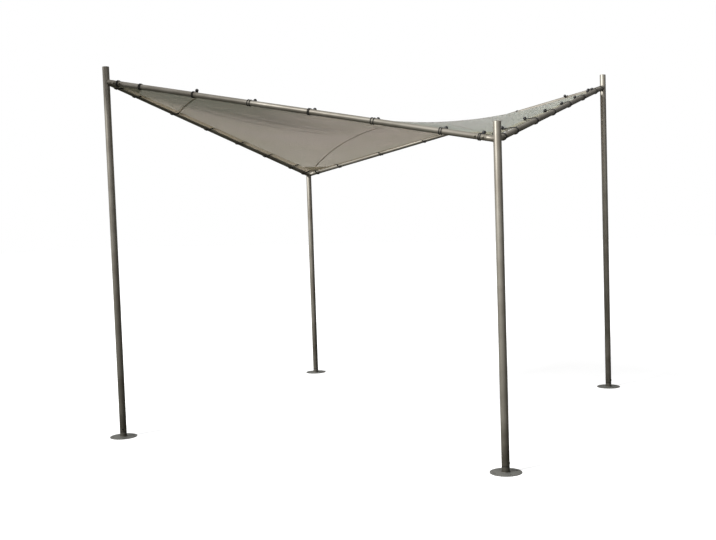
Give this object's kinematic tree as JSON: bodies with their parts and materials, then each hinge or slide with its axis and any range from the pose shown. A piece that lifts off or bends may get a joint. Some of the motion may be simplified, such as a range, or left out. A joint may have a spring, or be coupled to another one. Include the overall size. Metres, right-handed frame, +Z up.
{
  "type": "garden gazebo with a saddle-shaped sail roof",
  "caption": "Free-standing garden gazebo: tall and short tube posts on round feet, sloping tube beams and a fabric sail held by elastic ball ties.",
  "frame": {"origin": "on the floor, at the middle of the square of posts", "axes": "+Z up, +X to the right and +Y to the back, both along the beams in plan; the high corners are front left and back right"},
  "size_m": [3.2, 3.2, 2.772],
  "materials": {
    "frame": "satin metallic taupe powder coat",
    "foot": "satin grey-brown powder coat",
    "cap": "matte taupe moulding",
    "bolt": "zinc-plated steel",
    "sail": "coated woven polyester, taupe",
    "hem": "doubled woven polyester hem, taupe",
    "tie": "black braided elastic and black ball"
  },
  "bodies": {
    "root": {"post_front_left": "frame", "post_front_right": "frame", "post_back_right": "frame", "post_back_left": "frame", "post_cap_front_left": "cap", "post_cap_front_right": "cap", "post_cap_back_right": "cap", "post_cap_back_left": "cap", "foot_front_left": "foot", "foot_front_right": "foot", "foot_back_right": "foot", "foot_back_left": "foot", "socket_front_high": "frame", "socket_front_low": "frame", "socket_right_high": "frame", "socket_right_low": "frame", "socket_back_high": "frame", "socket_back_low": "frame", "socket_left_high": "frame", "socket_left_low": "frame", "beam_front": "frame", "beam_right": "frame", "beam_back": "frame", "beam_left": "frame", "sail": "sail", "hem_front": "hem", "hem_right": "hem", "hem_back": "hem", "hem_left": "hem"}
  },
  "joints": []
}
